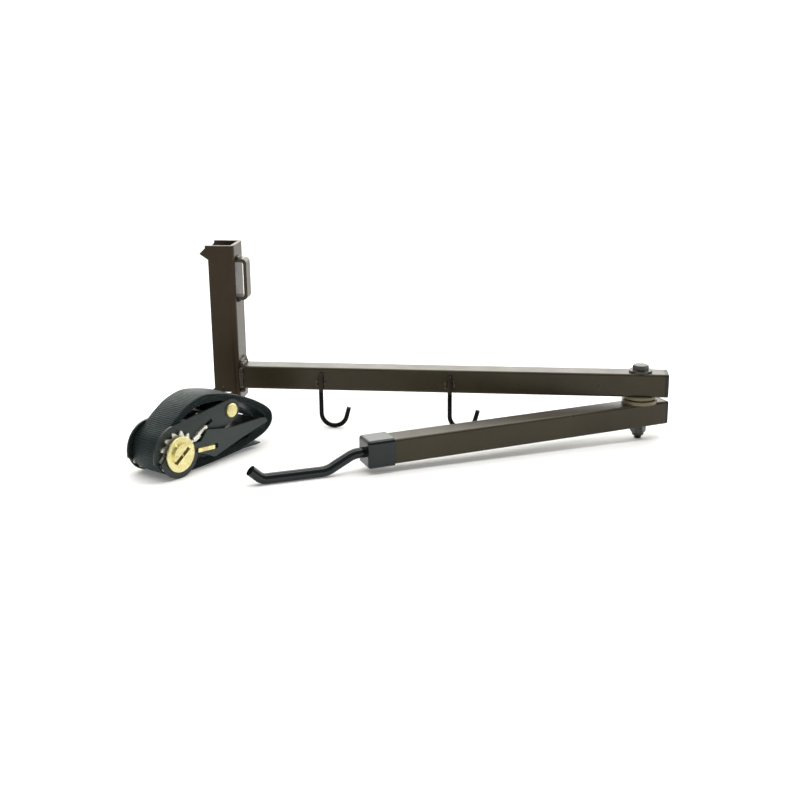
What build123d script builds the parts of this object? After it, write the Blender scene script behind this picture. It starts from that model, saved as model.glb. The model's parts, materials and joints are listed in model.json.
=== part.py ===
"""Strap-on folding gear hanger with the ratchet strap that ties it to a tree.

The hanger is modelled in its own frame: origin on the post's outer web face, in the arm's middle
plane, at the height of the arm's underside; +X along the main arm, +Z up the post.  The ratchet is
modelled in its own frame: origin on the floor under the spool, +X from the spool to the handle's
end, +Y across the strap.  stand_on_feet() and RATCHET_PLACE put both on one floor, z = 0.
"""

import math
import os

from build123d import *

os.makedirs("parts", exist_ok=True)

# ---- hanger: driving dimensions, mm ----
TUBE = 19.05  # 3/4 in square tube
TUBE_WALL = 1.6
TUBE_CORNER = 1.7
MAIN_ARM_LENGTH = 345.9
PIVOT_X = 327.1
PLUG_FLANGE = 3.2
PLUG_DEPTH = 12.0
ARM_GAP = 6.0
FOLD_ANGLE = 29.7  # swing arm away from the folded position

POST_WIDTH = 31.75  # 1 1/4 in
POST_OFFSET = 2.8  # the arm is welded nearer the post's hook side
POST_DEPTH = 21.0
POST_WALL = 3.0
POST_CORNER = 4.0
POST_BOTTOM = -10.5
POST_TOP = 119.5
TOOTH_LIP = 2.2
TOOTH_REACH = 7.0
TOOTH_TIP_DROP = 6.6
TOOTH_HEIGHT = 11.4
POST_HOLE_R = 4.2
POST_HOLE_Z = 0.2

BRACKET_BOTTOM = 74.2
BRACKET_TOP = 108.0
BRACKET_REACH = 8.6
BRACKET_BAR = 2.7
BRACKET_WIDTH = 12.7

HOOK_X = (68.1, 174.3)
HOOK_ROD_R = 1.85
HOOK_BEND_R = 10.6
HOOK_BEND_Z = -18.75
HOOK_TOP_Z = 14.8
HOOK_TIP_LEAN = 15.0  # degrees outwards
HOOK_TIP_LENGTH = 8.4

BOLT_R = 3.175  # 1/4 in
BOLT_END_Z = -36.5
BOLT_PITCH = 1.27
HEX_FLATS = 11.1
HEAD_HEIGHT = 4.1
NUT_HEX_HEIGHT = 6.0
NUT_COLLAR_HEIGHT = 2.6
HOLE_R = 3.4
HEAD_WASHER_R = 9.3
HEAD_WASHER_T = 1.6
UPPER_WASHER = (13.2, 2.0)
FRICTION_WASHER = (12.2, 1.3)
LOWER_WASHER = (14.2, 2.7)

SWING_BACK = -19.1
SWING_FRONT = 237.5
CAP_START = 218.7
CAP_WALL = 1.2
CAP_END_WALL = 2.1
ROD_R = 3.175
SLEEVE_R = 4.0
ROD_START = 214.0
SOCKET_START = 212.0
SOCKET_END = 234.0
# rod centreline beyond the cap, from the tube's underside: along the arm, up
ROD_BENDS = [(247.5, 9.525), (268.5, -0.85), (317.9, 0.4), (326.1, 8.0)]
ROD_BEND_R = [18.0, 18.0, 9.0]

# ---- ratchet: driving dimensions, mm ----
STRAP_WIDTH = 25.4
HANDLE_SIDE_Y = 0.0
RATCHET_WIDTH = 36.6
HANDLE_SHEET = 1.5
WHEEL_Y = 1.8
WHEEL_T = 1.6
FRAME_SHEET_Y = 3.7
FRAME_SHEET = 1.5
HUB_Z = 18.3
HUB_HOLE_R = 8.4
SPOOL_R = 8.2
SPOOL_SLOT = 3.0
SPOOL_OUT = 3.6
DISC_R = 13.2
DISC_T = 1.4
DISC_GAP = 0.3
WHEEL_R = 16.8
WHEEL_ROOT_R = 12.9
WHEEL_TEETH = 13
FRAME_LOW_R = 16.2
FRAME_HIGH_R = 21.0
TAIL_ANGLE = 19.3
TAIL_DISTANCE = 60.0
TAIL_R = 8.7
PIN_R = 3.0
PIN_HEAD_R = 5.4
PIN_HEAD_T = 1.8
SLEEVE_PIN_R = 4.2
LOCK_ANGLE = 25.0
LOCK_EAR_ANGLE = 21.5
LOCK_SLOT = (21.4, 40.2)
LOCK_PLATE = (22.8, 32.6)
PAWL_TIP_R = 17.1
LOCK_PAWL_T = 2.4
LOCK_EAR_T = 3.6
GRIP_ANGLE = -4.0
GRIP_SLOT = (16.2, 38.6)
GRIP_PLATE = (22.0, 34.0)
GRIP_PAWL_T = 3.0
SLOT_CLEARANCE = 0.3
PAWL_OUT = 1.5
SPRING_R = 2.6
SPRING_BORE = 1.7
LOCK_SEAT = (41.4, 43.4)
GRIP_SEAT_X = 43.0
WEB_Y = (RATCHET_WIDTH - STRAP_WIDTH) / 2
RATCHET_PLACE = Location((-9.3, -153.6, 0.0), (0, 0, 60.0))

shapes = {}


# ---- shared helpers ----
def square(side, corner):
    return RectangleRounded(side, side, corner)


def along_x(sketch, start, length):
    """Extrude a sketch drawn in the YZ plane, centred on the arm's axis, along +X."""
    return extrude(Plane.YZ.offset(start) * Pos(0, TUBE / 2, 0) * sketch, length)


def ring(outer, inner, thickness, z):
    return Pos(0, 0, z) * extrude(Circle(outer) - Circle(inner), thickness)


def closed_face(*curves):
    return make_face([edge for curve in curves for edge in curve.edges()])


def plate_xz(outline, y, thickness):
    """Extrude a sketch drawn with X and Z as its two axes along +Y from y."""
    return extrude(Plane.XZ.offset(-y) * outline, -thickness)


def hexagon(flats, height, z):
    """A hexagonal prism with its upper corners turned off."""
    prism = extrude(RegularPolygon(flats / 2, 6, major_radius=False), height)
    turned = Cone(flats * 0.68 + height * 0.6, flats * 0.5, height, align=(Align.CENTER, Align.CENTER, Align.MIN))
    return Pos(0, 0, z) * (prism & turned)


# ---- post ----
def tooth(top, down):
    """One bark tooth, as a sketch in XZ; down is -1 below its end of the post, +1 above it."""
    edge = -POST_DEPTH
    return make_face(
        Polyline(
            (edge + 1.0, top),
            (edge - TOOTH_LIP, top),
            (edge - TOOTH_LIP, top + down * 2.0),
            (edge - TOOTH_REACH, top + down * TOOTH_TIP_DROP),
            (edge, top + down * TOOTH_HEIGHT),
            (edge + 1.0, top + down * TOOTH_HEIGHT),
            close=True,
        )
    )


def post_channel():
    outer = Pos(-POST_DEPTH / 2, 0) * Rectangle(POST_DEPTH, POST_WIDTH)
    outer = fillet(outer.vertices().group_by(Axis.X)[-1], POST_CORNER)
    inner_width = POST_WIDTH - 2 * POST_WALL
    inner = Pos(-POST_DEPTH / 2 - POST_WALL, 0) * Rectangle(POST_DEPTH, inner_width)
    inner = fillet(inner.vertices().group_by(Axis.X)[-1], POST_CORNER - POST_WALL)
    post = Pos(0, 0, POST_BOTTOM) * extrude(outer - inner, POST_TOP - POST_BOTTOM)
    for side in (-POST_WIDTH / 2, POST_WIDTH / 2 - POST_WALL):
        post += plate_xz(tooth(POST_TOP, -1), side, POST_WALL)
        post += plate_xz(tooth(POST_BOTTOM, 1), side, POST_WALL)
    hole = Pos(-POST_DEPTH / 2, 0, POST_HOLE_Z) * Rot(90, 0, 0) * Cylinder(POST_HOLE_R, 2 * POST_WIDTH)
    return Pos(0, POST_OFFSET, 0) * (post - hole)


def arm_weld(post):
    """Fillet bead all round the arm where it meets the post's web."""
    foot = Plane.YZ.offset(-1.5) * Pos(0, TUBE / 2) * Rectangle(TUBE + 4.0, TUBE + 11.0)
    toe = Plane.YZ.offset(5.0) * Pos(0, TUBE / 2) * Rectangle(TUBE + 0.6, TUBE + 0.6)
    bead = loft([foot.face(), toe.face()])
    return bead - post - along_x(square(TUBE, TUBE_CORNER), -3.0, 12.0)


# ---- arms ----
def arm_tube(start, end, hole_x):
    tube = along_x(square(TUBE, TUBE_CORNER), start, end - start)
    bore = square(TUBE - 2 * TUBE_WALL, TUBE_CORNER - TUBE_WALL + 0.4)
    tube -= along_x(bore, start - 1.0, end - start + 2.0)
    return tube - Pos(hole_x, 0, TUBE / 2) * Cylinder(HOLE_R, 2 * TUBE)


def end_plug():
    """Push-in plug, flange outwards along +X from the tube's end at x = 0."""
    flange = along_x(square(TUBE, TUBE_CORNER), 0, PLUG_FLANGE)
    flange = fillet(flange.faces().sort_by(Axis.X)[-1].edges(), 1.0)
    insert = TUBE - 2 * TUBE_WALL - 0.1
    plug = along_x(square(insert, 0.5), -PLUG_DEPTH, PLUG_DEPTH)
    plug -= along_x(square(insert - 3.0, 0.3), -PLUG_DEPTH, PLUG_DEPTH - 1.5)
    return flange + plug


def swing_cap():
    """Vinyl cap over the swing arm's free end, with a hole for the hook rod."""
    side = TUBE + 2 * CAP_WALL
    end = SWING_FRONT + CAP_END_WALL
    cap = along_x(square(side, TUBE_CORNER + CAP_WALL), CAP_START, end - CAP_START)
    cap = fillet(cap.faces().sort_by(Axis.X)[-1].edges(), 2.4)
    cap -= along_x(square(TUBE, TUBE_CORNER), CAP_START - 1.0, SWING_FRONT - CAP_START + 1.0)
    return cap - Pos(SWING_FRONT, 0, TUBE / 2) * Rot(0, 90, 0) * Cylinder(SLEEVE_R, 4 * CAP_END_WALL)


def rod_path(start, stop_short=0.0):
    tip = Vector(*ROD_BENDS[-1])
    before = Vector(*ROD_BENDS[-2])
    tip = tip - (tip - before).normalized() * stop_short
    points = [(start, 0, TUBE / 2)]
    points += [(x, 0, z) for x, z in ROD_BENDS[:-1]]
    points += [(tip.X, 0, tip.Y)]
    return FilletPolyline(*points, radius=ROD_BEND_R)


def rod_along(path, radius):
    return sweep(Plane(path @ 0, z_dir=path % 0) * Circle(radius), path)


def rod_socket():
    side = TUBE - 2 * TUBE_WALL - 0.1
    block = along_x(square(side, 0.5), SOCKET_START, SOCKET_END - SOCKET_START)
    bore = Pos(SOCKET_START, 0, TUBE / 2) * Rot(0, 90, 0) * Cylinder(ROD_R, 4 * SOCKET_END)
    return block - bore


# ---- strap bracket and gear hooks ----
def strap_bracket():
    height = BRACKET_TOP - BRACKET_BOTTOM
    middle = (BRACKET_TOP + BRACKET_BOTTOM) / 2
    outer = Pos(BRACKET_REACH / 2, middle) * Rectangle(BRACKET_REACH, height)
    outer = fillet(outer.vertices().group_by(Axis.X)[-1], 3.8)
    room = BRACKET_REACH - BRACKET_BAR
    inner = Pos(room / 2, middle) * Rectangle(room, height - 2 * BRACKET_BAR)
    inner = fillet(inner.vertices().group_by(Axis.X)[-1], 1.4)
    return plate_xz(outer - inner, -BRACKET_WIDTH / 2, BRACKET_WIDTH)


def bracket_welds(post, bracket):
    beads = []
    for z in (BRACKET_BOTTOM - 0.5, BRACKET_TOP + 0.5):
        bead = Pos(0.6, 0, z) * Rot(90, 0, 0) * Cylinder(2.2, BRACKET_WIDTH - 1.0)
        beads.append((bead - post - bracket).solids().sort_by(Axis.X)[-1])
    return Compound(beads)


def hook_arc_point(x, degrees):
    """A point of the hook's bend; -180 is where the shank ends and -90 the lowest point."""
    turn = math.radians(degrees)
    centre = x + HOOK_BEND_R
    y = -TUBE / 2 - HOOK_ROD_R
    return (centre + HOOK_BEND_R * math.cos(turn), y, HOOK_BEND_Z + HOOK_BEND_R * math.sin(turn))


def gear_hook(x):
    start = (x, -TUBE / 2 - HOOK_ROD_R, HOOK_TOP_Z)
    shank = Line(start, hook_arc_point(x, -180))
    bend = ThreePointArc(shank @ 1, hook_arc_point(x, -90), hook_arc_point(x, -HOOK_TIP_LEAN))
    tip = Line(bend @ 1, bend @ 1 + (bend % 1) * HOOK_TIP_LENGTH)
    rod = sweep(Plane(start, z_dir=shank % 0) * Circle(HOOK_ROD_R), Wire([shank, bend, tip]))
    return fillet(rod.faces().sort_by(Axis.Z)[-1].edges(), HOOK_ROD_R * 0.6)


def hook_welds(hooks):
    """Two blobs of weld beside each hook's shank, on the arm's front face."""
    beads = []
    for x, hook in zip(HOOK_X, hooks):
        for side, length in ((-1.0, 2.6), (0.9, 2.0)):
            bead = Pos(x + side * 3.4, -TUBE / 2, 7.0) * scale(Sphere(1.0), by=(2.3, 1.7, length))
            bead -= hook
            bead -= Pos(x, 0, TUBE / 2) * Box(20, TUBE, TUBE)
            beads.append(bead.solids().sort_by(SortBy.VOLUME)[-1])
    return Compound(beads)


# ---- pivot hardware ----
def pivot_bolt():
    top = TUBE + HEAD_WASHER_T
    bolt = hexagon(HEX_FLATS, HEAD_HEIGHT, top)
    thread_start = BOLT_END_Z + 3.2
    bolt += Pos(0, 0, thread_start) * extrude(Circle(BOLT_R), top - thread_start)
    root = BOLT_R - 0.5
    profile = [(0, thread_start), (BOLT_R, thread_start)]
    z = thread_start
    while z - BOLT_PITCH > BOLT_END_Z:
        profile += [(root, z - BOLT_PITCH / 2), (BOLT_R, z - BOLT_PITCH)]
        z -= BOLT_PITCH
    profile += [(root, BOLT_END_Z), (0, BOLT_END_Z)]
    thread = revolve(Plane.XZ * make_face(Polyline(*profile, close=True)), Axis.Z)
    return bolt + thread


def lock_nut():
    """Hexagon with a turned collar, flat side up against the swing arm."""
    top = -ARM_GAP - TUBE
    body = mirror(hexagon(HEX_FLATS, NUT_HEX_HEIGHT, 0), Plane.XY)
    collar = Pos(0, 0, -NUT_HEX_HEIGHT - NUT_COLLAR_HEIGHT) * Cone(
        4.5, 5.2, NUT_COLLAR_HEIGHT, align=(Align.CENTER, Align.CENTER, Align.MIN)
    )
    nut = body + collar - Cylinder(BOLT_R + 0.03, 40)
    nut -= ring(3.9, 2.0, NUT_COLLAR_HEIGHT, -NUT_HEX_HEIGHT - NUT_COLLAR_HEIGHT + 0.5)
    return Pos(0, 0, top) * nut


def nylon_ring():
    z = -ARM_GAP - TUBE - NUT_HEX_HEIGHT - NUT_COLLAR_HEIGHT + 0.5
    return ring(3.85, BOLT_R + 0.02, NUT_COLLAR_HEIGHT - 0.1, z)


# ---- ratchet ----
def both_sides(solid):
    """A side piece and its mirror image on the strap's other side."""
    return solid, mirror(solid, Plane.XZ.offset(-RATCHET_WIDTH / 2))


def radial(angle, near, far, thick, y, width):
    """A flat bar lying along a radius of the spool, from near to far, width across the strap."""
    bar = Pos((near + far) / 2, y + width / 2, 0) * Box(far - near, width, thick)
    return Pos(0, 0, HUB_Z) * Rot(0, -angle, 0) * bar


def slot_cut(angle, reach, thick):
    return radial(angle, reach[0], reach[1], thick, -5.0, RATCHET_WIDTH + 10.0)


def hub_bore():
    return Pos(0, RATCHET_WIDTH / 2, HUB_Z) * Rot(90, 0, 0) * Cylinder(HUB_HOLE_R, RATCHET_WIDTH + 20)


def hub_point(radius, angle):
    turn = math.radians(angle)
    return (radius * math.cos(turn), HUB_Z + radius * math.sin(turn))


def handle_outline():
    """Side view of the handle: a foot round the spool, cut back over wheel and pawl, and a long lever."""
    foot = ThreePointArc(hub_point(18.2, -10), hub_point(18.2, -90), hub_point(17.0, -168))
    edge = Polyline(
        foot @ 1,
        (-13.5, 18.0),
        (-9.2, 26.0),
        (0.0, 30.3),
        (8.6, 26.8),
        (13.6, 22.4),
        (21.6, 22.8),
        (28.0, 30.2),
        (44.0, 27.2),
        (54.0, 26.2),
        (86.0, 26.2),
        (91.0, 25.0),
        (92.7, 21.8),
        (88.0, 20.6),
        (65.0, 15.6),
        (35.0, 7.6),
        foot @ 0,
    )
    return closed_face(foot, edge)


def handle_frame():
    """One folded sheet: two side plates joined by a web under the lever."""
    side = plate_xz(handle_outline(), HANDLE_SIDE_Y, HANDLE_SHEET)
    near, far = both_sides(side)
    web = make_face(
        Polyline((GRIP_SEAT_X, 11.2), (65.0, 17.0), (88.0, 22.0), (88.0, 24.0), (65.0, 19.0),
                 (45.0, 13.7), (45.0, 20.0), (GRIP_SEAT_X, 20.0), close=True)
    )
    bridge = plate_xz(web, HANDLE_SHEET - 0.5, RATCHET_WIDTH - 2 * HANDLE_SHEET + 1.0)
    frame = near + far + bridge - hub_bore()
    return frame - slot_cut(GRIP_ANGLE, GRIP_SLOT, GRIP_PAWL_T + 2 * SLOT_CLEARANCE)


def frame_outline():
    """Side view of the frame: a cam round the spool and a long tail with the anchor pin's hole."""
    tail = Vector(*hub_point(TAIL_DISTANCE, TAIL_ANGLE))
    low = ThreePointArc(hub_point(FRAME_LOW_R, 2), hub_point(FRAME_LOW_R, -80), hub_point(FRAME_LOW_R, -160))
    high = ThreePointArc(hub_point(FRAME_HIGH_R, -168), hub_point(FRAME_HIGH_R, 140), hub_point(FRAME_HIGH_R, 92))
    up = math.radians(99)
    top = tail + Vector(math.cos(up), math.sin(up)) * TAIL_R
    out = tail + Vector(1, 0) * TAIL_R
    down = math.radians(-62)
    under = tail + Vector(math.cos(down), math.sin(down)) * TAIL_R
    end = ThreePointArc((top.X, top.Y), (out.X, out.Y), (under.X, under.Y))
    step = Line(low @ 1, high @ 0)
    upper = Line(high @ 1, end @ 0)
    lower = Polyline(end @ 1, (44.0, 24.0), (30.0, 22.4), low @ 0)
    return closed_face(low, step, high, upper, end, lower)


def frame_plate():
    plate = plate_xz(frame_outline(), FRAME_SHEET_Y, FRAME_SHEET)
    plate -= hub_bore()
    plate -= slot_cut(LOCK_ANGLE, LOCK_SLOT, LOCK_PAWL_T + 2 * SLOT_CLEARANCE)
    x, z = hub_point(TAIL_DISTANCE, TAIL_ANGLE)
    return plate - Pos(x, 0, z) * Rot(90, 0, 0) * Cylinder(PIN_R, 2 * RATCHET_WIDTH)


def across(radius, start, end, x, z):
    """A round bar across the strap from y = start to y = end."""
    return Pos(x, (start + end) / 2, z) * Rot(90, 0, 0) * Cylinder(radius, end - start)


def anchor_pin():
    x, z = hub_point(TAIL_DISTANCE, TAIL_ANGLE)
    start = FRAME_SHEET_Y
    pin = across(PIN_R, start, RATCHET_WIDTH - start, x, z)
    head = across(PIN_HEAD_R, start - PIN_HEAD_T, start, x, z)
    head = fillet(head.edges().group_by(Axis.Y)[0], 0.8)
    near, far = both_sides(head)
    return pin + near + far


def anchor_sleeve():
    x, z = hub_point(TAIL_DISTANCE, TAIL_ANGLE)
    start = FRAME_SHEET_Y + FRAME_SHEET + 0.1
    tube = across(SLEEVE_PIN_R, start, RATCHET_WIDTH - start, x, z)
    return tube - across(PIN_R + 0.05, 0, RATCHET_WIDTH, x, z)


def frame_seat():
    """Cross plate between the frame's sides that the lock pawl's spring pushes against."""
    start = FRAME_SHEET_Y + FRAME_SHEET
    return radial(LOCK_ANGLE, *LOCK_SEAT, 8.0, start, RATCHET_WIDTH - 2 * start)


def lock_pawl():
    """Sheet pawl through both frame slots, with an ear over each wheel."""
    start = WHEEL_Y - 0.1
    width = RATCHET_WIDTH - 2 * start
    pawl = radial(LOCK_ANGLE, *LOCK_PLATE, LOCK_PAWL_T, start, width)
    ear = radial(LOCK_EAR_ANGLE, PAWL_TIP_R, LOCK_PLATE[0] + 1.5, LOCK_EAR_T, start, FRAME_SHEET_Y - start - 0.15)
    near, far = both_sides(ear)
    return pawl + near + far


def grip_pawl():
    """Sheet pawl through both handle slots; a finger pulls its middle away from the spool."""
    width = RATCHET_WIDTH + 2 * PAWL_OUT
    pawl = radial(GRIP_ANGLE, *GRIP_PLATE, GRIP_PAWL_T, -PAWL_OUT, width)
    ear = radial(GRIP_ANGLE, PAWL_TIP_R, GRIP_PLATE[0] + 1.0, GRIP_PAWL_T, -PAWL_OUT, FRAME_SHEET_Y + PAWL_OUT - 0.15)
    near, far = both_sides(ear)
    return pawl + near + far


def pawl_spring(angle, near, far):
    """The space a small compression spring takes along a radius of the spool."""
    middle = RATCHET_WIDTH / 2
    coil = Pos((near + far) / 2, middle, 0) * Rot(0, 90, 0) * (
        Cylinder(SPRING_R, far - near) - Cylinder(SPRING_BORE, far - near)
    )
    return Pos(0, 0, HUB_Z) * Rot(0, -angle, 0) * coil


def spool_halves():
    """Two half-round bars with the strap's slot between them, turned 35 degrees from level."""
    length = RATCHET_WIDTH + 2 * SPOOL_OUT
    bar = Rot(90, 0, 0) * Cylinder(SPOOL_R, length)
    halves = []
    for side in (1, -1):
        clip = Pos(0, 0, side * (SPOOL_SLOT / 2 + SPOOL_R)) * Box(4 * SPOOL_R, 2 * length, 2 * SPOOL_R)
        half = Rot(0, -35, 0) * (bar & clip)
        halves.append(Pos(0, RATCHET_WIDTH / 2, HUB_Z) * half)
    return halves


def ratchet_wheel():
    """Saw-toothed wheel on the spool, between the handle and the frame."""
    step = 360 / WHEEL_TEETH
    points = []
    for tooth_number in range(WHEEL_TEETH):
        start = tooth_number * step
        points.append(hub_point(WHEEL_ROOT_R, start))
        points.append(hub_point(WHEEL_R, start + 0.70 * step))
        points.append(hub_point(WHEEL_R, start + 0.88 * step))
    wheel = plate_xz(make_face(Polyline(*points, close=True)), WHEEL_Y, WHEEL_T)
    return wheel - spool_bore()


def spool_bore():
    return Pos(0, RATCHET_WIDTH / 2, HUB_Z) * Rot(90, 0, 0) * Cylinder(SPOOL_R, RATCHET_WIDTH + 20)


def hub_disc():
    start = HANDLE_SIDE_Y - DISC_GAP - DISC_T
    disc = across(DISC_R, start, start + DISC_T, 0, HUB_Z)
    disc = fillet(disc.edges().group_by(Axis.Y)[0], 0.5)
    return disc - spool_bore()


def cotter_pins():
    """A pin through the spool outside each disc."""
    pins = []
    y = -DISC_GAP - DISC_T - 0.9
    for place in (y, RATCHET_WIDTH - y):
        pin = Pos(0, place, HUB_Z) * Rot(0, 55, 0) * Rot(0, 90, 0) * Cylinder(0.8, 2 * SPOOL_R + 6)
        pins.append(pin)
    return Compound(pins)


def strap_coil():
    """The strap wound round the closed ratchet, as one closed band."""
    outer = Spline(
        (-17.3, 19.7), (-13.8, 30.0), (-4.6, 37.4), (4.0, 44.0), (16.0, 50.8), (31.0, 54.2),
        (45.0, 52.4), (59.0, 48.8), (72.0, 44.2), (85.0, 38.4), (96.5, 32.2), (103.2, 26.6),
        (105.0, 20.6), (102.6, 14.6), (95.0, 9.2), (76.0, 4.4), (57.0, 2.4), (39.0, 1.2),
        (22.0, 0.6), (2.0, 0.7), (-8.5, 3.8), (-15.0, 10.4), periodic=True,
    )
    inner = Spline(
        (-9.6, 19.0), (-7.4, 27.4), (1.0, 34.0), (10.0, 40.6), (20.0, 45.0), (31.0, 46.8),
        (44.0, 46.4), (57.0, 44.8), (70.0, 39.8), (82.0, 33.6), (91.0, 27.6), (95.6, 22.2),
        (93.6, 17.6), (86.0, 15.2), (72.0, 12.4), (56.0, 10.0), (40.0, 8.4), (22.0, 7.8),
        (4.0, 8.0), (-4.0, 9.8), (-8.2, 13.4), periodic=True,
    )
    band = make_face(outer) - make_face(inner)
    return plate_xz(band, WEB_Y, STRAP_WIDTH)


def anchor_loop():
    """The strap's sewn end: a loop round the sleeve and a doubled tongue along the coil."""
    x, z = hub_point(TAIL_DISTANCE, TAIL_ANGLE)
    rim = SLEEVE_PIN_R + 0.15
    thick = 1.3
    tongue = make_face(
        Polyline((x - 0.5, z + rim), (x + 12.0, z + rim - 4.6), (x + 25.0, z + rim - 12.6),
                 (x + 25.0, z + rim - 15.0), (x + 12.0, z + rim - 7.2), (x + 1.0, z), close=True)
    )
    profile = Pos(x, z) * Circle(rim + thick) + tongue
    profile -= Pos(x, z) * Circle(rim)
    return plate_xz(profile, WEB_Y, STRAP_WIDTH)


# ---- putting it together ----
def swing_place():
    return Location((PIVOT_X, 0, -ARM_GAP - TUBE), (0, 0, 180 + FOLD_ANGLE))


def feet_normal():
    """The direction, in the hanger's frame, that is straight up when it stands on its three feet."""
    normal = Vector(0, 0, 1)
    path = swing_place() * rod_path(SWING_FRONT + CAP_END_WALL)
    rod_points = [path @ (step / 80) for step in range(81)]
    for _ in range(8):
        tilt = Vector(normal.X, 0, normal.Z).normalized()
        bend_centre = Vector(HOOK_X[0] + HOOK_BEND_R, -TUBE / 2 - HOOK_ROD_R, HOOK_BEND_Z)
        hook_foot = bend_centre - tilt * HOOK_BEND_R - normal * HOOK_ROD_R
        lean = Vector(normal.X, normal.Y, 0)
        rim = lean.normalized() * (BOLT_R - 0.5) if lean.length > 0 else lean
        bolt_foot = Vector(PIVOT_X, 0, BOLT_END_Z) - rim
        rod = min(rod_points, key=lambda point: point.dot(normal))
        rod_foot = rod - normal * SLEEVE_R
        normal = (bolt_foot - hook_foot).cross(rod_foot - hook_foot).normalized()
        normal = normal if normal.Z > 0 else -normal
    return normal, hook_foot


def stand_on_feet():
    normal, foot = feet_normal()
    floor = Plane(origin=(0, 0, 0), x_dir=Vector(normal.Z, 0, -normal.X), z_dir=normal)
    drop = foot.dot(normal)
    return Pos(0, 0, -drop) * floor.location.inverse()


def hanger_nodes():
    post = post_channel()
    bracket = strap_bracket()
    hooks = [gear_hook(x) for x in HOOK_X]
    pivot = Pos(PIVOT_X, 0, 0)
    washer_z = -UPPER_WASHER[1]
    friction_z = washer_z - FRICTION_WASHER[1]
    return {
        "post_channel": post,
        "main_arm_tube": arm_tube(0, MAIN_ARM_LENGTH, PIVOT_X),
        "arm_weld": arm_weld(post),
        "strap_bracket": bracket,
        "bracket_welds": bracket_welds(post, bracket),
        "gear_hook_inner": hooks[0],
        "gear_hook_outer": hooks[1],
        "hook_welds": hook_welds(hooks),
        "main_arm_end_plug": Pos(MAIN_ARM_LENGTH, 0, 0) * end_plug(),
        "pivot_bolt": pivot * pivot_bolt(),
        "head_washer": pivot * ring(HEAD_WASHER_R, HOLE_R, HEAD_WASHER_T, TUBE),
        "spacer_washer_upper": pivot * ring(UPPER_WASHER[0], HOLE_R, UPPER_WASHER[1], washer_z),
        "friction_washer": pivot * ring(FRICTION_WASHER[0], HOLE_R, FRICTION_WASHER[1], friction_z),
        "lock_nut": pivot * lock_nut(),
        "nut_nylon_ring": pivot * nylon_ring(),
    }


def swing_nodes():
    """Pieces on the swing arm, drawn along +X from the pivot and turned to the rest angle."""
    place = swing_place()
    sleeve_path = rod_path(SWING_FRONT + CAP_END_WALL)
    core_path = rod_path(ROD_START, stop_short=1.2)
    core = rod_along(core_path, ROD_R)
    plug = mirror(end_plug(), Plane.YZ)
    pieces = {
        "swing_arm_tube": arm_tube(SWING_BACK, SWING_FRONT, 0),
        "swing_arm_end_plug": Pos(SWING_BACK, 0, 0) * plug,
        "swing_arm_cap": swing_cap(),
        "rod_socket": rod_socket(),
        "hook_rod": core,
        "hook_rod_sleeve": rod_along(sleeve_path, SLEEVE_R) - core,
        "spacer_washer_lower": ring(LOWER_WASHER[0], HOLE_R, LOWER_WASHER[1], TUBE),
    }
    return {name: place * piece for name, piece in pieces.items()}


def ratchet_nodes():
    frame_near, frame_far = both_sides(frame_plate())
    wheel_near, wheel_far = both_sides(ratchet_wheel())
    disc_near, disc_far = both_sides(hub_disc())
    upper, lower = spool_halves()
    pins = cotter_pins()
    return {
        "handle_frame": handle_frame(),
        "handle_pawl": grip_pawl(),
        "handle_pawl_spring": pawl_spring(GRIP_ANGLE, GRIP_PLATE[1], GRIP_SEAT_X - 0.2),
        "frame_plate_near": frame_near,
        "frame_plate_far": frame_far,
        "frame_seat": frame_seat(),
        "lock_pawl": lock_pawl(),
        "lock_pawl_spring": pawl_spring(LOCK_ANGLE, LOCK_PLATE[1], LOCK_SEAT[0]),
        "anchor_pin": anchor_pin(),
        "anchor_sleeve": anchor_sleeve(),
        "anchor_loop": anchor_loop(),
        "spool_half_upper": upper - pins,
        "spool_half_lower": lower - pins,
        "ratchet_wheel_near": wheel_near,
        "ratchet_wheel_far": wheel_far,
        "hub_disc_near": disc_near,
        "hub_disc_far": disc_far,
        "cotter_pins": pins,
        "strap_coil": strap_coil(),
    }


def build():
    """All pieces in the part's frame: on the floor, with the origin under the box's middle."""
    stand = stand_on_feet()
    placed = {name: stand * piece for name, piece in {**hanger_nodes(), **swing_nodes()}.items()}
    placed.update({name: RATCHET_PLACE * piece for name, piece in ratchet_nodes().items()})
    box = Compound(list(placed.values())).bounding_box()
    middle = Pos(-box.center().X, -box.center().Y, -box.min.Z)
    return {name: middle * piece for name, piece in placed.items()}, middle


shapes, centring = build()
for node, shape in shapes.items():
    export_step(shape, f"parts/{node}.step")
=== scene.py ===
import json
import math

import bmesh
import bpy
from mathutils import Euler, Matrix, Vector, noise


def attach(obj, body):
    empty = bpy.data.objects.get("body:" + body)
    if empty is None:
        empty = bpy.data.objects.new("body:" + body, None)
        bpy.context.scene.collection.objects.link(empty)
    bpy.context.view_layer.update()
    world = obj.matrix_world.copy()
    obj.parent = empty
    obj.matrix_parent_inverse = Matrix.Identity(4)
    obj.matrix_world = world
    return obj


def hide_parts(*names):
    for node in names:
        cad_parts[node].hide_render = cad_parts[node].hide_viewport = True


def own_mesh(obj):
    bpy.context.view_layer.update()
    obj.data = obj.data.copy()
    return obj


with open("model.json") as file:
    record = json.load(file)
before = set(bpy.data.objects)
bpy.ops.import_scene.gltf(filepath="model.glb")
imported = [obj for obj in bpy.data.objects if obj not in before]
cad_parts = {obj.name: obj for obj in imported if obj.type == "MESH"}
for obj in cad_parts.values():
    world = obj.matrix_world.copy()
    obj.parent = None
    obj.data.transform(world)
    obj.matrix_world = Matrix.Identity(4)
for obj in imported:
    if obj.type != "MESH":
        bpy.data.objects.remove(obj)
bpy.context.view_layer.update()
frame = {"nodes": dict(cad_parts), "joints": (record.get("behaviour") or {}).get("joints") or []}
NODES = frame["nodes"]
JOINTS = {joint["name"]: joint for joint in frame["joints"]}
MM = 0.001

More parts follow.
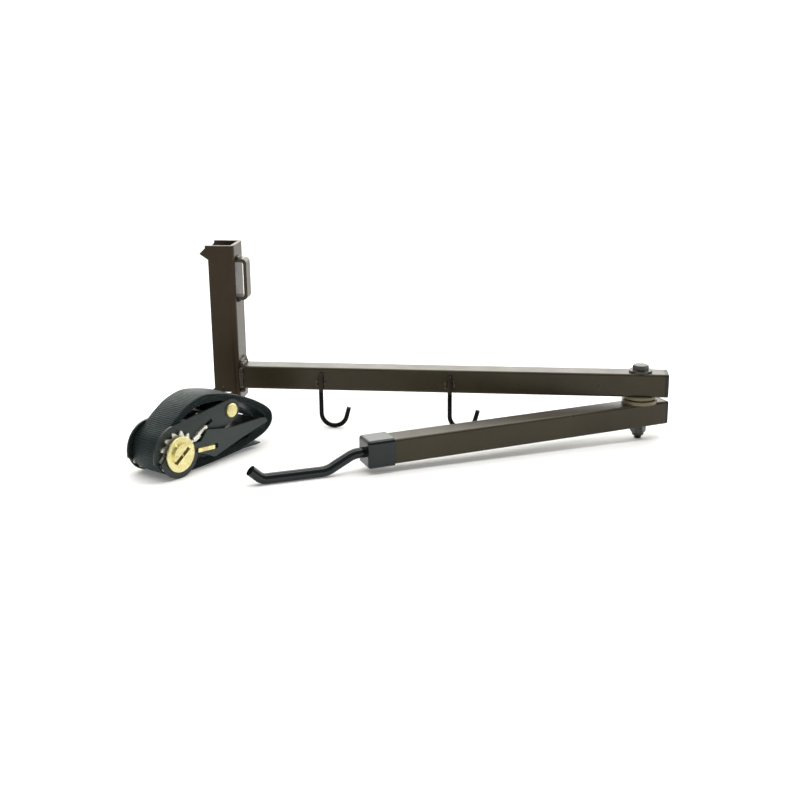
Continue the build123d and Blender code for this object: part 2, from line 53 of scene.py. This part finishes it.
UP = Vector((0, 0, 1))

# ---- the ratchet's own frame, mm: l from the spool to the handle's end, s across, z above the floor ----
HUB = Vector(JOINTS["spool_turn"]["pos_m"])
ACROSS = -Vector(JOINTS["spool_turn"]["axis"])
ALONG = ACROSS.cross(UP)
HUB_Z = HUB.z / MM
RATCHET_WIDTH = 36.6
RATCHET_MIDDLE = RATCHET_WIDTH / 2
STRAP_WIDTH = 25.4
STRAP_THICKNESS = 1.15
STRAP_NEAR = (RATCHET_WIDTH - STRAP_WIDTH) / 2
LOCK_ANGLE = 25.0  # degrees up from l, of the lock pawl's slot
LOCK_SPRING = (32.7, 41.3)  # from the spool's axis to the spring's two ends
GRIP_ANGLE = -4.0
GRIP_SPRING = (34.1, 42.7)
TAIL_ANGLE = 19.3  # where the anchor pin crosses the frame's tail
TAIL_DISTANCE = 60.0

# ---- the hanger's own frame, mm: x along the main arm from the post, y across, z above its underside ----
TUBE = 19.05
HALF = TUBE / 2
PIVOT_X, PIVOT_Z = 327.1, -3.0
HOOK_X = (68.1, 174.3)
BRACKET_WELD_Z = (73.9, 108.3)
ARM_UP = Vector(JOINTS["arm_fold"]["axis"]).normalized()
if ARM_UP.z < 0:
    ARM_UP = -ARM_UP
ARM_SIDE = Vector((0, ARM_UP.z, -ARM_UP.y)).normalized()
ARM_ALONG = ARM_SIDE.cross(ARM_UP)
ARM_ZERO = Vector(JOINTS["arm_fold"]["pos_m"]) - (ARM_ALONG * PIVOT_X + ARM_UP * PIVOT_Z) * MM


def rat(l, s, z):
    """A point of the ratchet: from the spool's axis along the handle, from its near side, above the floor."""
    return HUB + (ALONG * l + ACROSS * (s - RATCHET_MIDDLE)) * MM + UP * (z * MM - HUB.z)


def spoke(angle, reach, s):
    """A point of the ratchet at that angle and distance from the spool's axis."""
    turn = math.radians(angle)
    return rat(reach * math.cos(turn), s, HUB_Z + reach * math.sin(turn))


def arm(x, y, z):
    """A point of the hanger, from its own frame."""
    return ARM_ZERO + (ARM_ALONG * x + ARM_SIDE * y + ARM_UP * z) * MM


# ---- materials ----
def srgb(*rgb):
    """A linear colour from three sRGB numbers of 0 to 255."""
    return tuple(((c / 255 + 0.055) / 1.055) ** 2.4 if c > 10 else c / 255 / 12.92 for c in rgb) + (1.0,)


class Mat:
    """A node material with short calls for the nodes that it needs."""

    def __init__(self, name, metallic=0.0, specular=0.5, sheen=0.0, tint=(1.0, 1.0, 1.0)):
        self.mat = bpy.data.materials.new(name)
        self.mat.use_nodes = True
        self.tree = self.mat.node_tree
        self.shader = self.tree.nodes["Principled BSDF"]
        self.shader.inputs["Metallic"].default_value = metallic
        self.shader.inputs["Specular Tint"].default_value = (*tint, 1.0)
        self.shader.inputs["Specular IOR Level"].default_value = specular
        self.shader.inputs["Sheen Weight"].default_value = sheen
        self.relief = None

    def node(self, kind, **values):
        """A shader node; each value is a setting of it, an input's value or a socket to link in."""
        made = self.tree.nodes.new("ShaderNode" + kind)
        for key, value in values.items():
            if key not in made.inputs:
                setattr(made, key, value)
            elif isinstance(value, bpy.types.NodeSocket):
                self.tree.links.new(value, made.inputs[key])
            else:
                made.inputs[key].default_value = value
        return made

    def plug(self, socket, value):
        if isinstance(value, bpy.types.NodeSocket):
            self.tree.links.new(value, socket)
        else:
            socket.default_value = value

    def coords(self, which="Object"):
        return self.node("TexCoord").outputs[which]

    def noise(self, scale, detail=3.0, rough=0.5):
        """Noise with about scale lumps per metre."""
        made = self.node("TexNoise", Scale=scale, Detail=detail, Roughness=rough, Vector=self.coords())
        return made.outputs["Fac"]

    def ramp(self, fac, *stops):
        """Colours at their places along fac."""
        made = self.node("ValToRGB", Fac=fac)
        while len(made.color_ramp.elements) < len(stops):
            made.color_ramp.elements.new(0.5)
        for element, (place, colour) in zip(made.color_ramp.elements, stops):
            element.position = place
            element.color = colour
        return made.outputs["Color"]

    def level(self, fac, low, high, start=0.3, end=0.7):
        """A value that goes from low to high while fac goes from start to end."""
        made = self.node("MapRange", clamp=True, Value=fac)
        for socket, value in zip(("From Min", "From Max", "To Min", "To Max"), (start, end, low, high)):
            made.inputs[socket].default_value = value
        return made.outputs["Result"]

    def math(self, operation, a, b=0.0):
        made = self.node("Math", operation=operation)
        self.plug(made.inputs[0], a)
        self.plug(made.inputs[1], b)
        return made.outputs[0]

    def mix(self, fac, a, b):
        made = self.node("Mix", data_type="RGBA")
        for socket, value in ((made.inputs[0], fac), (made.inputs[6], a), (made.inputs[7], b)):
            self.plug(socket, value)
        return made.outputs[2]

    def bump(self, height, strength, distance_mm):
        """Adds relief on top of the relief that is there."""
        made = self.node("Bump", Strength=strength, Distance=distance_mm * MM, Height=height)
        if self.relief is not None:
            self.plug(made.inputs["Normal"], self.relief)
        self.relief = made.outputs["Normal"]

    def done(self, colour, rough):
        self.plug(self.shader.inputs["Base Color"], colour)
        self.plug(self.shader.inputs["Roughness"], rough)
        if self.relief is not None:
            self.plug(self.shader.inputs["Normal"], self.relief)
        return self.mat


def powder_coat(name, dark, light, rough=(0.27, 0.35), specular=0.3, tint=(1.0, 0.98, 0.84)):
    """Baked powder paint: fine orange peel, with slow changes of depth in the bronze."""
    m = Mat(name, specular=specular, tint=tint)
    broad = m.noise(14, 4)
    m.bump(m.noise(420, 2), 0.16, 0.05)
    m.bump(m.noise(1500, 2), 0.12, 0.015)
    flecks = m.level(m.noise(2600, 1), 0.0, 0.35, 0.66, 0.74)
    colour = m.mix(flecks, m.ramp(broad, (0.3, dark), (0.7, light)), srgb(96, 86, 68))
    return m.done(colour, m.level(m.noise(60, 3), *rough))


def dipped(name, dark, light, rough=(0.16, 0.26), specular=0.45, tint=(0.93, 1.0, 1.0)):
    """Thick dipped vinyl: smooth, with slow waves in its skin and faint dust in the gloss."""
    m = Mat(name, specular=specular, tint=tint)
    broad = m.noise(60, 3)
    m.bump(m.noise(210, 2), 0.12, 0.12)
    m.bump(m.noise(1800, 2), 0.08, 0.02)
    return m.done(m.ramp(broad, (0.3, dark), (0.7, light)), m.level(m.noise(500, 4), *rough))


def hook_finish(name):
    """Bronze paint on the welded shank, black dip below the arm's underside, with a soft uneven edge."""
    m = Mat(name, specular=0.1)
    height = m.node("VectorMath", operation="DOT_PRODUCT")
    m.plug(height.inputs[0], m.coords())
    height.inputs[1].default_value = ARM_UP
    wavy = m.math("ADD", height.outputs["Value"], m.math("MULTIPLY", m.noise(300, 2), 2.0 * MM))
    edge = ARM_ZERO.dot(ARM_UP) + 0.4 * MM
    softness = 0.6 * MM
    above = m.level(wavy, 0.0, 1.0, edge - softness, edge + softness)
    m.bump(m.noise(500, 2), 0.15, 0.06)
    black = m.ramp(m.noise(90, 3), (0.3, srgb(4, 5, 5)), (0.7, srgb(9, 10, 11)))
    bronze = m.ramp(m.noise(60, 3), (0.3, srgb(42, 37, 30)), (0.7, srgb(56, 50, 40)))
    return m.done(m.mix(above, black, bronze), m.level(m.noise(140, 3), 0.2, 0.32))


def moulded(name, dark, light):
    """Moulded plastic: matt grain and slight sink marks."""
    m = Mat(name, specular=0.3)
    m.bump(m.noise(1300, 2), 0.3, 0.03)
    m.bump(m.noise(160, 2), 0.1, 0.08)
    return m.done(m.ramp(m.noise(50, 3), (0.3, dark), (0.7, light)), m.level(m.noise(240, 3), 0.34, 0.46))


def black_oxide(name):
    """Blackened steel: brown-black film with worn gray spots."""
    m = Mat(name, metallic=0.35, specular=0.5)
    film = m.ramp(m.noise(170, 4), (0.3, srgb(42, 41, 38)), (0.7, srgb(70, 68, 64)))
    worn = m.level(m.noise(420, 5, 0.65), 0.0, 0.55, 0.58, 0.7)
    m.bump(m.noise(1000, 3), 0.25, 0.03)
    return m.done(m.mix(worn, film, srgb(122, 120, 114)), m.level(m.noise(260, 3), 0.28, 0.44))


def zinc(name, *tones):
    """Plated steel: passivation tints in soft clouds over fine rolling marks."""
    m = Mat(name, metallic=0.9, specular=0.6)
    cloud = m.noise(110, 4, 0.6)
    places = [0.28 + 0.44 * i / (len(tones) - 1) for i in range(len(tones))]
    m.bump(m.noise(800, 3), 0.16, 0.03)
    m.bump(m.noise(120, 2), 0.08, 0.1)
    return m.done(m.ramp(cloud, *zip(places, tones)), m.level(m.noise(500, 4), 0.24, 0.42))


def webbing(name):
    """Woven strap: the UV's V runs along it in metres and U across it; ribs lie across the strap."""
    rib_pitch, warp_pitch, rib_drift = 0.0017, 0.0011, 0.0011
    m = Mat(name, specular=0.24, sheen=0.12, tint=(0.72, 1.0, 1.0))
    m.shader.inputs["Sheen Roughness"].default_value = 0.3
    m.shader.inputs["Sheen Tint"].default_value = (0.66, 0.9, 0.92, 1.0)
    split = m.node("SeparateXYZ", Vector=m.coords("UV"))
    across, along = split.outputs[0], split.outputs[1]
    drift = m.math("MULTIPLY", m.noise(90, 2), rib_drift)
    rib = m.math("SINE", m.math("MULTIPLY", m.math("ADD", along, drift), 2 * math.pi / rib_pitch))
    warp = m.math("SINE", m.math("MULTIPLY", across, 2 * math.pi / warp_pitch))
    weave = m.math("MULTIPLY", rib, warp)
    m.bump(m.math("ADD", m.math("MULTIPLY", rib, 0.75), m.math("MULTIPLY", weave, 0.25)), 0.6, 0.2)
    m.bump(m.noise(2400, 2), 0.35, 0.05)
    # painted shade: the rib troughs are coloured darker than the crests, as if shade fell in them, and slow
    # noise varies the strap's tone at random
    rib_trough_shade_and_tone = m.math("MULTIPLY", m.level(rib, 0.25, 1.0, -1.0, 1.0), m.level(m.noise(45, 3), 0.6, 1.0))
    return m.done(m.mix(rib_trough_shade_and_tone, srgb(5, 7, 8), srgb(27, 35, 37)), m.level(m.noise(300, 2), 0.42, 0.54))


def thread(name):
    """Bonded polyester thread, a little paler than the strap it sews."""
    m = Mat(name, specular=0.4, sheen=0.3)
    m.bump(m.noise(1500, 2), 0.4, 0.05)
    return m.done(m.ramp(m.noise(300, 2), (0.3, srgb(30, 32, 34)), (0.7, srgb(58, 60, 62))), 0.6)


POWDER = powder_coat("powder_coat_bronze", srgb(38, 31, 21), srgb(53, 46, 32))
POST_COAT = powder_coat("powder_coat_post", srgb(37, 27, 17), srgb(48, 37, 25), specular=0.22,
                        tint=(1.0, 0.93, 0.78))
WASHER_COAT = powder_coat("powder_coat_washers", srgb(92, 85, 68), srgb(122, 112, 88), rough=(0.24, 0.34))
WELD = powder_coat("powder_coat_weld", srgb(40, 34, 28), srgb(60, 53, 43), rough=(0.2, 0.3), specular=0.45)
RATCHET = powder_coat("ratchet_black_coat", srgb(22, 28, 27), srgb(34, 42, 41), rough=(0.26, 0.36),
                      specular=0.42, tint=(0.9, 1.0, 0.98))
HOOK = hook_finish("hook_dip_coating")
ROD = dipped("rod_sleeve_vinyl", srgb(7, 11, 13), srgb(14, 19, 22), rough=(0.07, 0.13), specular=0.36)
VINYL = dipped("vinyl_cap", srgb(10, 13, 15), srgb(18, 22, 25), rough=(0.12, 0.2), specular=0.36)
PLASTIC = moulded("moulded_plug", srgb(18, 18, 18), srgb(28, 28, 27))
NYLON = moulded("nylon_insert", srgb(52, 62, 72), srgb(70, 82, 92))
OXIDE = black_oxide("black_oxide_hardware")
YELLOW = zinc("yellow_zinc", srgb(196, 172, 108), srgb(234, 226, 168), srgb(224, 212, 150),
              srgb(208, 182, 138))
BRIGHT = zinc("bright_zinc", srgb(196, 196, 186), srgb(236, 236, 224), srgb(214, 216, 206))
STEEL = zinc("rod_steel", srgb(98, 100, 102), srgb(150, 152, 154))
WEBBING = webbing("webbing_black")
THREAD = thread("bonded_thread")

FINISH = {
    POST_COAT: ("post_channel",),
    POWDER: ("main_arm_tube", "strap_bracket", "swing_arm_tube"),
    WASHER_COAT: ("spacer_washer_upper", "spacer_washer_lower"),
    RATCHET: ("handle_frame", "frame_plate_near", "frame_plate_far", "frame_seat", "anchor_sleeve"),
    HOOK: ("gear_hook_inner", "gear_hook_outer"),
    ROD: ("hook_rod_sleeve",),
    VINYL: ("swing_arm_cap",),
    PLASTIC: ("main_arm_end_plug", "swing_arm_end_plug", "rod_socket", "friction_washer"),
    OXIDE: ("pivot_bolt", "head_washer", "lock_nut"),
    NYLON: ("nut_nylon_ring",),
    STEEL: ("hook_rod",),
    BRIGHT: ("lock_pawl", "ratchet_wheel_near", "ratchet_wheel_far"),
    YELLOW: ("handle_pawl", "hub_disc_near", "hub_disc_far", "anchor_pin", "spool_half_upper",
             "spool_half_lower"),
}
for material, names in FINISH.items():
    for name in names:
        mesh = NODES[name].data
        mesh.materials.clear()
        mesh.materials.append(material)

# pressed sheet has a slight break along its cut edges
for name in ("handle_frame", "frame_plate_near", "frame_plate_far"):
    edge = NODES[name].modifiers.new("pressed_edge", "BEVEL")
    edge.width = 0.28 * MM
    edge.segments = 2
    edge.limit_method = "ANGLE"
    edge.angle_limit = math.radians(50)
    edge.harden_normals = True


# ---- mesh helpers ----
def new_object(name, bm, material, smooth=True):
    """Turns a bmesh into an object of one material and frees it."""
    mesh = bpy.data.meshes.new(name)
    bmesh.ops.recalc_face_normals(bm, faces=bm.faces)
    bm.to_mesh(mesh)
    bm.free()
    obj = bpy.data.objects.new(name, mesh)
    bpy.context.collection.objects.link(obj)
    mesh.materials.append(material)
    mesh.polygons.foreach_set("use_smooth", [smooth] * len(mesh.polygons))
    return obj


def sweep(bm, path, radii, sides=14):
    """Adds a round bar along points, of the radius given for each point, in metres; its ends are flat."""
    rings = []
    guide = Vector((0.31, 0.52, 0.79))  # along none of the bars
    for i, place in enumerate(path):
        ahead = (path[min(i + 1, len(path) - 1)] - path[max(i - 1, 0)]).normalized()
        side = (guide - ahead * guide.dot(ahead)).normalized()
        guide = side
        other = ahead.cross(side)
        ring = []
        for k in range(sides):
            turn = 2 * math.pi * k / sides
            ring.append(bm.verts.new(place + (side * math.cos(turn) + other * math.sin(turn)) * radii[i]))
        rings.append(ring)
    for a, b in zip(rings, rings[1:]):
        for k in range(sides):
            bm.faces.new((a[k], a[(k + 1) % sides], b[(k + 1) % sides], b[k]))
    bm.faces.new(rings[0])
    bm.faces.new(list(reversed(rings[-1])))


def between(a, b, c, d, u):
    """The point a share u of the way from b to c on a smooth curve (Catmull-Rom) through all four."""
    return 0.5 * ((2 * b) + (c - a) * u + (2 * a - 5 * b + 4 * c - d) * u * u
                  + (3 * b - a - 3 * c + d) * u ** 3)


def smooth_line(points, steps):
    """A smooth curve through the points, in steps pieces between each two."""
    ends = [points[0] * 2 - points[1], *points, points[-1] * 2 - points[-2]]
    line = []
    for i in range(len(points) - 1):
        line += [between(*ends[i:i + 4], k / steps) for k in range(steps)]
    return line + [points[-1]]


# ---- welds ----
def weld_bead(bm, points, radius, pitch=2.1, seed=0.0):
    """A run of weld along points: overlapping puddles every pitch mm, uneven in size, with round ends."""
    line = smooth_line(points, 14)
    lumps_per_metre = 160
    cap_points = 5
    run, radii = 0.0, []
    for i, place in enumerate(line):
        run += (place - line[i - 1]).length if i else 0.0
        ripple = 0.86 + 0.2 * abs(math.sin(math.pi * run / (pitch * MM)))
        lump = 1.0 + 0.4 * noise.noise(place * lumps_per_metre + Vector((seed, 0, 0)))
        end = min(i, len(line) - 1 - i)
        cap = math.sqrt(max(1 - (1 - min(end / cap_points, 1.0)) ** 2, 0.02))
        radii.append(radius * MM * ripple * lump * cap)
    sweep(bm, line, radii)


def nodule(bm, place, size, seed):
    """A frozen drop of weld with an uneven skin; size is its half lengths along x, y and z, in mm."""
    start = len(bm.verts)
    bmesh.ops.create_icosphere(bm, subdivisions=3, radius=1.0)
    bm.verts.ensure_lookup_table()
    for vert in bm.verts[start:]:
        x, y, z = vert.co * (1 + 0.16 * noise.noise(vert.co * 1.7 + Vector((seed, 0, 0))))
        vert.co = place + (ARM_ALONG * x * size[0] + ARM_SIDE * y * size[1] + ARM_UP * z * size[2]) * MM


def arm_weld():
    """The weld round the arm's foot: two beads over the top, one up each side, one and a drop beneath."""
    bm = bmesh.new()
    up_the_side = (TUBE - 0.5, 13, 6, 0.4)
    weld_bead(bm, [arm(0.6, y, TUBE + 0.6) for y in (-HALF - 0.4, -4, 4, HALF + 0.4)], 2.5, seed=1.0)
    weld_bead(bm, [arm(0.2, y, TUBE + 3.4) for y in (-HALF + 0.6, -3, 3, HALF - 0.6)], 2.1, seed=2.0)
    weld_bead(bm, [arm(0.9, -HALF - 0.2, z) for z in up_the_side], 2.3, seed=3.0)
    weld_bead(bm, [arm(0.9, HALF + 0.2, z) for z in up_the_side], 2.3, seed=4.0)
    weld_bead(bm, [arm(0.7, y, -0.9) for y in (-HALF, -3, 4, HALF)], 2.5, seed=5.0)
    nodule(bm, arm(1.8, -HALF + 1.0, -1.6), (2.4, 2.0, 1.9), 6.0)
    obj = new_object("arm_weld_bead", bm, WELD)
    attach(obj, "hanger")
    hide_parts("arm_weld")


def hook_welds():
    """Four drops beside each hook's shank: how far along the arm from it, how high, and how big."""
    drops = (
        (-3.3, 8.2, (1.9, 1.4, 2.1)),
        (-3.0, 4.9, (1.5, 1.2, 1.7)),
        (3.0, 6.4, (1.7, 1.2, 1.8)),
        (2.8, 9.4, (1.2, 1.0, 1.3)),
    )
    bm = bmesh.new()
    for number, x in enumerate(HOOK_X):
        for step, (beside, z, size) in enumerate(drops):
            nodule(bm, arm(x + beside, -HALF - 0.1, z), size, 3.0 * number + step)
    obj = new_object("hook_weld_nodules", bm, WELD)
    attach(obj, "hanger")
    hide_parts("hook_welds")


def bracket_welds():
    """A short bead across each end of the strap bracket."""
    bm = bmesh.new()
    for number, z in enumerate(BRACKET_WELD_Z):
        weld_bead(bm, [arm(0.7, y, z) for y in (-5.6, -2, 2, 5.6)], 1.5, pitch=1.7, seed=9.0 + number)
    obj = new_object("bracket_weld_beads", bm, WELD)
    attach(obj, "hanger")
    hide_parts("bracket_welds")


arm_weld()
hook_welds()
bracket_welds()


# ---- pawl springs: round wire wound between each pawl and its seat ----
def spring(name, node, body, joint, angle, near, far):
    """A coil along a radius of the spool, from near to far; its pitch closes up towards both ends."""
    turns, steps_a_turn = 7, 18
    radius, wire = 2.2, 0.36  # of the coil and of its wire
    closing = 0.1  # share of the coil over which its pitch closes up
    outward = (spoke(angle, 1, 0) - spoke(angle, 0, 0)).normalized()
    side = ACROSS.cross(outward)
    centre = spoke(angle, 0, RATCHET_MIDDLE)
    path = []
    for i in range(turns * steps_a_turn + 1):
        share = i / (turns * steps_a_turn)
        end = round(share)
        openness = min(share, 1 - share, closing) / closing
        reach = near + wire + (far - near - 2 * wire) * (end + (share - end) * openness)
        turn = 2 * math.pi * i / steps_a_turn
        around = ACROSS * math.cos(turn) + side * math.sin(turn)
        path.append(centre + (outward * reach + around * radius) * MM)
    bm = bmesh.new()
    sweep(bm, path, [wire * MM] * len(path), sides=8)
    obj = new_object(name, bm, BRIGHT)
    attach(obj, body)
    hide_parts(node)
    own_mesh(obj)


spring("lock_pawl_coil_spring", "lock_pawl_spring", "lock_pawl", "lock_pawl_pull", LOCK_ANGLE, *LOCK_SPRING)
spring("handle_pawl_coil_spring", "handle_pawl_spring", "handle_pawl", "handle_pawl_pull", GRIP_ANGLE,
       *GRIP_SPRING)


# ---- split pins: one through the spool outside each disc ----
def cotters():
    """Each pin has two legs that spring from one eye, lie side by side and part at their tips."""
    wire = 0.38
    outside = 2.6
    leg = ((-11.0, 0.0), (-10.4, 1.15), (-9.3, 0.9), (-8.4, 0.36), (0.0, 0.36), (8.0, 0.36), (9.6, 0.9),
           (10.8, 1.5))
    slant = math.radians(-55)
    run = ALONG * math.cos(slant) + UP * math.sin(slant)
    bm = bmesh.new()
    for s in (-outside, RATCHET_WIDTH + outside):
        centre = rat(0, s, HUB_Z)
        outward = ACROSS * (1 if s > 0 else -1)
        for side in (-1, 1):
            path = smooth_line([centre + (run * a + outward * b * side) * MM for a, b in leg], 6)
            sweep(bm, path, [wire * MM] * len(path), sides=10)
    obj = new_object("split_pins", bm, YELLOW)
    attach(obj, "ratchet_spool")
    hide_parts("cotter_pins")


cotters()

# ---- the wound strap: one ribbon in a spiral between two closed curves through these points, l and z ----
OUTER = [(-17.2, 19.7), (-13.7, 30.1), (-4.6, 37.8), (3.9, 44.4), (15.9, 51.3), (31.0, 54.9), (45.1, 53.3),
         (59.2, 49.8), (72.4, 45.1), (85.6, 39.2), (97.0, 32.8), (103.9, 26.9), (105.7, 20.6), (103.0, 14.6),
         (95.0, 9.2), (76.0, 4.4), (57.0, 2.4), (39.0, 1.2), (22.0, 0.6), (2.0, 0.7), (-8.5, 3.8),
         (-15.0, 10.4)]
INNER = [(-9.6, 19.0), (-7.4, 27.4), (1.0, 34.0), (10.0, 40.6), (20.0, 45.0), (31.0, 46.8), (44.0, 46.4),
         (57.0, 44.8), (70.0, 39.8), (82.0, 33.6), (91.0, 27.6), (95.6, 22.2), (93.6, 17.6), (86.0, 15.2),
         (72.0, 12.4), (56.0, 10.0), (40.0, 8.4), (22.0, 7.8), (4.0, 8.0), (-4.0, 9.8), (-8.2, 13.4)]
TURNS = 5
TAIL_PLACE = 0.652  # how far round the curves the strap's cut tail lies


def loop_point(outline, share):
    """A point of the smooth closed curve through an outline's points; share runs 0 to 1 once round."""
    count = len(outline)
    place = (share % 1.0) * count
    first = int(place)
    return between(*(Vector(outline[(first + k - 1) % count]) for k in range(4)), place - first)


def ribbon(name, path):
    """The strap laid along path, given as l and z; returns it and its length. Its UVs are in metres."""
    bm = bmesh.new()
    uv = bm.loops.layers.uv.new("UVMap")
    lengths = [0.0]
    for a, b in zip(path, path[1:]):
        lengths.append(lengths[-1] + (b - a).length * MM)
    # the section's points: mm across the strap and share of its thickness, with rounded edges
    edge = [(0, 0.42), (0.35, 0.12), (1.0, 0.0)]
    section = [*edge, (STRAP_WIDTH / 2, 0.0), *((STRAP_WIDTH - s, t) for s, t in reversed(edge))]
    section += [(s, 1.0 - t) for s, t in reversed(section)]
    rings = []
    for i, point in enumerate(path):
        ahead = (path[min(i + 1, len(path) - 1)] - path[max(i - 1, 0)]).normalized()
        normal = Vector((-ahead.y, ahead.x))
        wander = 0.25 * noise.noise(Vector((lengths[i] * 14, STRAP_NEAR, 3.0)))
        ring = []
        for s, t in section:
            place = point + normal * STRAP_THICKNESS * (t - 0.5)
            ring.append(bm.verts.new(rat(place.x, STRAP_NEAR + s + wander, place.y)))
        rings.append(ring)
    count = len(section)
    around = [0.0]
    for (s0, t0), (s1, t1) in zip(section, section[1:] + section[:1]):
        around.append(around[-1] + math.hypot(s1 - s0, (t1 - t0) * STRAP_THICKNESS) * MM)
    for i in range(len(rings) - 1):
        for k in range(count):
            j = (k + 1) % count
            face = bm.faces.new((rings[i][k], rings[i][j], rings[i + 1][j], rings[i + 1][k]))
            corners = ((k, i), (k + 1, i), (k + 1, i + 1), (k, i + 1))
            for loop, (u, v) in zip(face.loops, corners):
                loop[uv].uv = (around[u], lengths[v])
    bm.faces.new(rings[0])
    bm.faces.new(list(reversed(rings[-1])))
    return new_object(name, bm, WEBBING), lengths[-1]


def coil_path():
    """Turns inwards from the cut tail under the handle; each steps in during the last part of its round."""
    steps_a_turn = 150
    first_step = 6  # the straight tail takes the place of the ones before
    step_in = 0.72  # share of a round after which the strap steps in to the next layer
    unevenness = 0.012
    path = [Vector((90.0, 4.0)), Vector((86.0, 3.8))]
    for i in range(first_step, steps_a_turn * TURNS + 1):
        turn = i / steps_a_turn
        outer = loop_point(OUTER, TAIL_PLACE + turn)
        inner = loop_point(INNER, TAIL_PLACE + turn)
        inset = (STRAP_THICKNESS / 2 + 0.05) / max((outer - inner).length, 1)
        part = max((turn % 1.0 - step_in) / (1.0 - step_in), 0.0)
        layer = (int(turn) + part * part * (3 - 2 * part)) / TURNS
        share = inset + (1 - 2 * inset) * layer
        share += unevenness * noise.noise(Vector((turn * 3.1, turn, 1.0)))
        path.append(outer.lerp(inner, min(max(share, inset), 1 - inset)))
    return path


coil, coil_length = ribbon("strap_wound", coil_path())
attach(coil, "ratchet_handle")
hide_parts("strap_coil")
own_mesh(coil)


# ---- the strap's sewn end: a loop round the anchor sleeve, its two layers stitched together ----
def sewn_end():
    """The loop's points and the stitches are placed from the anchor pin's axis, at x and z."""
    centre = spoke(TAIL_ANGLE, TAIL_DISTANCE, 0) - rat(0, 0, 0)
    x, z = centre.dot(ALONG) / MM, centre.z / MM
    over = [(25.0, -9.0), (18.0, -4.5), (12.0, -1.0), (6.5, 2.4), (2.6, 4.3), (-1.2, 4.85), (-4.4, 2.1)]
    under = [(-4.4, -2.1), (-1.2, -4.85), (3.0, -4.1), (7.5, -2.2), (12.0, -2.4), (18.0, -5.9), (25.0, -10.3)]
    route = [Vector((x + a, z + b)) for a, b in over + under]
    loop, length = ribbon("anchor_strap_end", smooth_line(route, 8))

    # stitches in rows across the upper layer, whose face falls away from a point of it
    face_run, face_rise, face_slope = 12.0, -0.45, -0.55
    rows, row_start, row_pitch = 5, 12.6, 2.5
    columns, column_start, column_pitch = 9, STRAP_NEAR + 2.2, 2.4
    stitch = ((0, 0, -0.15), (0.15, 0.4, 0.2), (0.3, 1.0, 0.25), (0.45, 1.6, 0.2), (0.6, 2.0, -0.15))
    stitch_slope = -0.62
    thread_radius = 0.16
    bm = bmesh.new()
    for row in range(rows):
        run = row_start + row_pitch * row
        height = z + face_rise + face_slope * (run - face_run)
        for column in range(columns):
            s = column_start + column_pitch * column
            points = [rat(x + run + a, s + b, height + c + stitch_slope * a) for a, b, c in stitch]
            path = smooth_line(points, 4)
            sweep(bm, path, [thread_radius * MM] * len(path), sides=6)
    stitches = new_object("anchor_strap_stitches", bm, THREAD)
    for obj in (loop, stitches):
        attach(obj, "ratchet_frame")
    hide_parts("anchor_loop")


sewn_end()

# ---- camera: metres and degrees ----
CAMERA_PLACE = (0.08898, -0.87657, 0.29018)
CAMERA_DOWN = 15.5832
CAMERA_LEFT = 6.4489
CAMERA_ROLL = 0.7681
camera = bpy.data.objects.new("camera", bpy.data.cameras.new("camera"))
bpy.context.collection.objects.link(camera)
camera.data.lens = 54.0
camera.data.sensor_width = 36.0
camera.data.clip_start = 0.01
aim = Euler((math.radians(90 - CAMERA_DOWN), 0.0, math.radians(CAMERA_LEFT))).to_matrix()
aim = aim @ Matrix.Rotation(math.radians(CAMERA_ROLL), 3, "Z")
camera.matrix_world = Matrix.Translation(CAMERA_PLACE) @ aim.to_4x4()
bpy.context.scene.camera = camera
bpy.context.scene.view_settings.view_transform = "Standard"


# ---- floor and light ----
FLOOR_REACH = 60.0  # metres from its middle to its edges, so that they stay out of the photo's view


def floor_material():
    """Nearly white paper with a faint glow that keeps its shadows pale."""
    m = Mat("pale_floor", specular=0.0)
    m.shader.inputs["Emission Color"].default_value = (1.0, 1.0, 1.0, 1.0)
    m.shader.inputs["Emission Strength"].default_value = 0.13
    return m.done(m.ramp(m.noise(3, 2), (0.3, (0.9, 0.9, 0.9, 1)), (0.7, (0.91, 0.91, 0.91, 1))), 0.95)


bm = bmesh.new()
bmesh.ops.create_grid(bm, x_segments=1, y_segments=1, size=FLOOR_REACH)
new_object("floor", bm, floor_material(), smooth=False)


def area_light(name, place, target, size, power):
    """A rectangular light of size metres and power watts that faces the target."""
    light = bpy.data.lights.new(name, "AREA")
    light.shape = "RECTANGLE"
    light.size, light.size_y = size
    light.energy = power
    obj = bpy.data.objects.new(name, light)
    bpy.context.collection.objects.link(obj)
    obj.location = place
    obj.rotation_euler = (Vector(target) - Vector(place)).to_track_quat("-Z", "Y").to_euler()


def studio_world():
    """White sky that is bright behind the object and dim on the side that the camera stands on."""
    world = bpy.data.worlds.new("studio")
    bpy.context.scene.world = world
    world.use_nodes = True
    tree = world.node_tree
    coords = tree.nodes.new("ShaderNodeTexCoord")
    split = tree.nodes.new("ShaderNodeSeparateXYZ")
    ramp = tree.nodes.new("ShaderNodeMapRange")
    tree.links.new(coords.outputs["Generated"], split.inputs[0])
    tree.links.new(split.outputs["Y"], ramp.inputs["Value"])
    ramp.interpolation_type = "SMOOTHSTEP"
    for socket, value in (("From Min", -0.15), ("From Max", 0.75), ("To Min", 0.3), ("To Max", 2.9)):
        ramp.inputs[socket].default_value = value
    tree.links.new(ramp.outputs["Result"], tree.nodes["Background"].inputs["Strength"])
    tree.nodes["Background"].inputs["Color"].default_value = (1.0, 0.99, 0.94, 1)


studio_world()
area_light("overhead", place=(0.0, 0.1, 1.6), target=(0, 0, 0), size=(2.4, 1.8), power=6)
area_light("strip", place=(0.1, -0.2, 1.3), target=(0, 0, 0), size=(1.8, 0.32), power=8.5)
